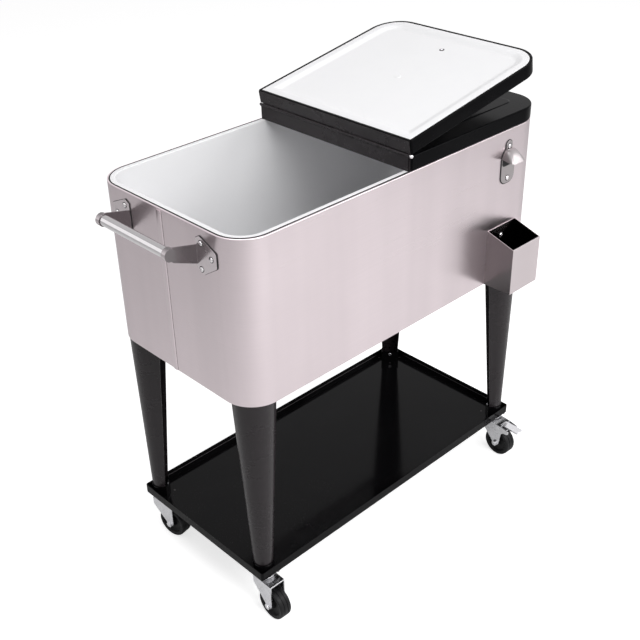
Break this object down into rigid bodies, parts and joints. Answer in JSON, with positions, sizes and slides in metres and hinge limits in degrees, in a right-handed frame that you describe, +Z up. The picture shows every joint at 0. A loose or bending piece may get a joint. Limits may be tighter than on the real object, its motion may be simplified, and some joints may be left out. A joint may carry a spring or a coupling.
{
  "type": "patio cooler cart",
  "caption": "Rolling patio cooler: insulated steel tub on four legs with a folding two-part lid, end handles, bottle opener, cap catcher, lower shelf and swivel casters.",
  "frame": {"origin": "on the floor, under the middle of the box round the whole cart", "axes": "+X along the tub towards its right end as seen from the front, +Y towards the back, +Z up; the front with the opener faces -Y"},
  "size_m": [0.8904, 0.448, 0.9166],
  "materials": {
    "shell_steel": "brushed, slightly warm grey",
    "bright_steel": "polished",
    "bracket_steel": "satin",
    "opener_steel": "polished pressing",
    "catcher_steel": "satin sheet",
    "zinc": "zinc plated",
    "black_gloss": "gloss black powder coat",
    "black_satin": "satin black powder coat",
    "white_plastic": "semi-gloss white",
    "foam": "cut foam",
    "gasket_rubber": "matt",
    "wheel_black": "moulded, slight sheen",
    "knob_black": "gloss",
    "drain_plastic": "moulded"
  },
  "bodies": {
    "cart": {"outer_shell": "shell_steel", "rim_gasket": "gasket_rubber", "inner_liner": "white_plastic", "insulation": "foam", "bottom_pan": "zinc", "drain_fitting": "drain_plastic", "drain_nut": "drain_plastic", "left_handle_bar": "bright_steel", "left_handle_front_bracket": "bracket_steel", "left_handle_rear_bracket": "bracket_steel", "right_handle_bar": "bright_steel", "right_handle_front_bracket": "bracket_steel", "right_handle_rear_bracket": "bracket_steel", "handle_rivets": "bright_steel", "bottle_opener": "opener_steel", "cap_catcher": "catcher_steel", "face_screws": "bright_steel", "front_left_leg": "black_satin", "front_right_leg": "black_satin", "rear_left_leg": "black_satin", "rear_right_leg": "black_satin", "leg_screws": "zinc", "shelf_tray": "black_gloss", "front_left_caster_plate": "zinc", "front_right_caster_plate": "zinc", "rear_left_caster_plate": "zinc", "rear_right_caster_plate": "zinc", "caster_bolts": "black_satin", "hinge_bridge": "black_satin", "bridge_rivets": "zinc", "hinge_pin": "zinc"},
    "drain_plug": {"drain_plug": "drain_plastic"},
    "right_lid": {"right_lid_cover": "black_gloss", "right_lid_under_pan": "white_plastic", "right_lid_foam": "foam", "right_lid_knob": "knob_black", "right_knob_screw": "zinc", "right_foam_plug": "white_plastic", "right_hinge_leaf": "black_satin"},
    "left_lid": {"left_lid_cover": "black_gloss", "left_lid_under_pan": "white_plastic", "left_lid_foam": "foam", "left_lid_knob": "knob_black", "left_knob_screw": "zinc", "left_foam_plug": "white_plastic", "left_hinge_leaf": "black_satin"},
    "front_left_caster": {"front_left_caster_fork": "zinc", "front_left_axle": "zinc"},
    "front_left_wheel": {"front_left_wheel": "wheel_black"},
    "front_right_caster": {"front_right_caster_fork": "zinc", "front_right_axle": "zinc"},
    "front_right_wheel": {"front_right_wheel": "wheel_black"},
    "front_right_brake_pedal": {"front_right_brake_pedal": "zinc"},
    "rear_left_caster": {"rear_left_caster_fork": "zinc", "rear_left_axle": "zinc"},
    "rear_left_wheel": {"rear_left_wheel": "wheel_black"},
    "rear_right_caster": {"rear_right_caster_fork": "zinc", "rear_right_axle": "zinc"},
    "rear_right_wheel": {"rear_right_wheel": "wheel_black"},
    "rear_right_brake_pedal": {"rear_right_brake_pedal": "zinc"}
  },
  "joints": [
    {"name": "right_lid_hinge", "type": "hinge", "parent": "cart", "child": "right_lid", "pos_m": [0, 0.0315, 0.8265], "axis": [0, 1, 0], "range_deg": [-100, 0]},
    {"name": "left_lid_hinge", "type": "hinge", "parent": "right_lid", "child": "left_lid", "pos_m": [0, 0.0315, 0.8265], "axis": [0, -1, 0], "range_deg": [0, 170.38]},
    {"name": "front_left_swivel", "type": "hinge", "parent": "cart", "child": "front_left_caster", "pos_m": [-0.3446, -0.126, 0.0965], "axis": [0, 0, 1], "continuous": true},
    {"name": "front_left_wheel_spin", "type": "hinge", "parent": "front_left_caster", "child": "front_left_wheel", "pos_m": [-0.34509, -0.154, 0.0325], "axis": [0.9998, -0.0175, 0], "continuous": true},
    {"name": "front_right_swivel", "type": "hinge", "parent": "cart", "child": "front_right_caster", "pos_m": [0.3446, -0.126, 0.0965], "axis": [0, 0, 1], "continuous": true},
    {"name": "front_right_wheel_spin", "type": "hinge", "parent": "front_right_caster", "child": "front_right_wheel", "pos_m": [0.34362, -0.15398, 0.0325], "axis": [0.9994, -0.0349, 0], "continuous": true},
    {"name": "front_right_brake", "type": "hinge", "parent": "front_right_caster", "child": "front_right_brake_pedal", "pos_m": [0.34334, -0.16198, 0.0775], "axis": [0.9994, -0.0349, 0], "range_deg": [0, 10]},
    {"name": "rear_left_swivel", "type": "hinge", "parent": "cart", "child": "rear_left_caster", "pos_m": [-0.3446, 0.189, 0.0965], "axis": [0, 0, 1], "continuous": true},
    {"name": "rear_left_wheel_spin", "type": "hinge", "parent": "rear_left_caster", "child": "rear_left_wheel", "pos_m": [-0.33974, 0.16143, 0.0325], "axis": [0.9848, 0.1736, 0], "continuous": true},
    {"name": "rear_right_swivel", "type": "hinge", "parent": "cart", "child": "rear_right_caster", "pos_m": [0.3446, 0.189, 0.0965], "axis": [0, 0, 1], "continuous": true},
    {"name": "rear_right_wheel_spin", "type": "hinge", "parent": "rear_right_caster", "child": "rear_right_wheel", "pos_m": [0.34558, 0.16102, 0.0325], "axis": [0.9994, 0.0349, 0], "continuous": true},
    {"name": "rear_right_brake", "type": "hinge", "parent": "rear_right_caster", "child": "rear_right_brake_pedal", "pos_m": [0.34586, 0.15302, 0.0775], "axis": [0.9994, 0.0349, 0], "range_deg": [0, 10]},
    {"name": "drain_plug_pull", "type": "slide", "parent": "cart", "child": "drain_plug", "axis": [0, 0, 1], "range_m": [0, 0.03]}
  ]
}
